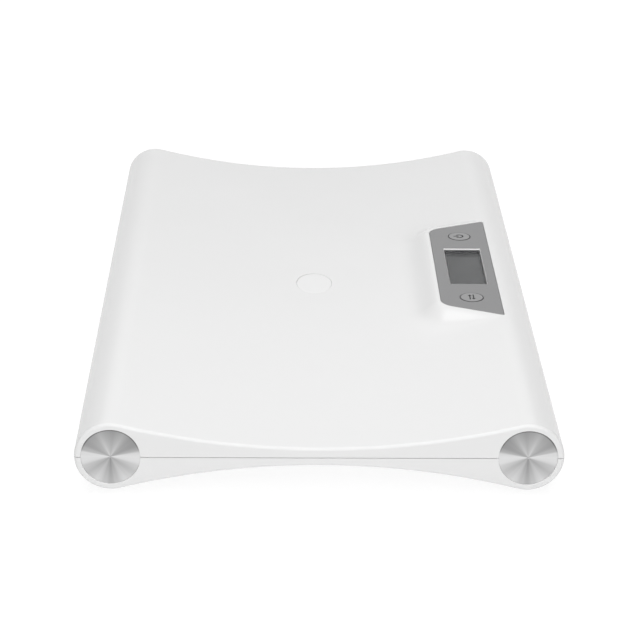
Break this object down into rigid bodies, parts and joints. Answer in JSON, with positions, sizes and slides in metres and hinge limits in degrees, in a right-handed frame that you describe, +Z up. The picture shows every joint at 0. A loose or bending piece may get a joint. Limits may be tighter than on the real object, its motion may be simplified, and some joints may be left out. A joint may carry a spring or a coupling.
{
  "type": "baby weighing scale",
  "caption": "Low white electronic scale for babies: concave tray between two tubular edges with metal end discs, and a grey control panel with display and round buttons.",
  "frame": {"origin": "on the ground, under the middle of the scale", "axes": "+X across the tray towards the control panel, +Y along the tubes, +Z up"},
  "size_m": [0.31, 0.55, 0.05],
  "materials": {
    "shell_white": "glossy moulded ABS",
    "panel_grey": "satin grey plate",
    "lens_clear": "clear window",
    "lcd": "display glass with polariser",
    "frame_white": "plain moulded",
    "light_guide": "milky light guide",
    "zebra_rubber": "soft elastomer",
    "board_green": "solder resist",
    "chip_black": "moulded epoxy",
    "can_metal": "bare can",
    "screw_steel": "zinc plated",
    "button_grey": "satin cap",
    "plunger_plastic": "moulded",
    "badge_white": "glossy plate",
    "contact_steel": "nickel plated",
    "lead_pvc": "flexible sheath",
    "cell_wrap": "printed foil wrap, left plain",
    "disc_metal": "spun brushed",
    "foot_plastic": "moulded",
    "pad_rubber": "non-slip pad",
    "cell_steel": "stamped alloy steel"
  },
  "bodies": {
    "housing": {"backlight": "light_guide", "battery_1": "cell_wrap", "battery_2": "cell_wrap", "battery_3": "cell_wrap", "battery_4": "cell_wrap", "battery_leads": "lead_pvc", "board_capacitors": "can_metal", "board_screws": "screw_steel", "bridge_contact": "contact_steel", "cell_retainer_back_left": "foot_plastic", "cell_retainer_back_right": "foot_plastic", "cell_retainer_front_left": "foot_plastic", "cell_retainer_front_right": "foot_plastic", "centre_badge": "badge_white", "control_chip": "chip_black", "control_panel": "panel_grey", "display_lens": "lens_clear", "end_disc_back_left": "disc_metal", "end_disc_back_right": "disc_metal", "end_disc_front_left": "disc_metal", "end_disc_front_right": "disc_metal", "foot_back_left": "foot_plastic", "foot_back_right": "foot_plastic", "foot_front_left": "foot_plastic", "foot_front_right": "foot_plastic", "foot_pad_back_left": "pad_rubber", "foot_pad_back_right": "pad_rubber", "foot_pad_front_left": "pad_rubber", "foot_pad_front_right": "pad_rubber", "lane_spring_1": "contact_steel", "lane_spring_2": "contact_steel", "lcd_frame": "frame_white", "lcd_glass": "lcd", "lead_socket": "frame_white", "load_cell_back_left": "cell_steel", "load_cell_back_right": "cell_steel", "load_cell_front_left": "cell_steel", "load_cell_front_right": "cell_steel", "lower_shell": "shell_white", "main_board": "board_green", "negative_contact": "contact_steel", "positive_contact": "contact_steel", "power_switch": "chip_black", "retainer_screws": "screw_steel", "sensor_lead_back_left": "lead_pvc", "sensor_lead_back_right": "lead_pvc", "sensor_lead_front_left": "lead_pvc", "sensor_lead_front_right": "lead_pvc", "shell_screws": "screw_steel", "unit_switch": "chip_black", "upper_shell": "shell_white", "zebra_strip_inner": "zebra_rubber", "zebra_strip_outer": "zebra_rubber"},
    "power_key": {"power_button": "button_grey", "power_plunger": "plunger_plastic"},
    "unit_key": {"unit_button": "button_grey", "unit_plunger": "plunger_plastic"},
    "door": {"battery_door": "shell_white"}
  },
  "joints": [
    {"name": "power_press", "type": "slide", "parent": "housing", "child": "power_key", "axis": [0, 0, -1], "range_m": [0, 0.0005], "stiffness_N_per_m": 2400, "springref_m": -0.0002},
    {"name": "unit_press", "type": "slide", "parent": "housing", "child": "unit_key", "axis": [0, 0, -1], "range_m": [0, 0.0005], "stiffness_N_per_m": 2400, "springref_m": -0.0002},
    {"name": "door_tip", "type": "hinge", "parent": "housing", "child": "door", "pos_m": [0.132, -0.0484, 0.004], "axis": [-1, 0, 0], "range_deg": [0, 60]}
  ]
}
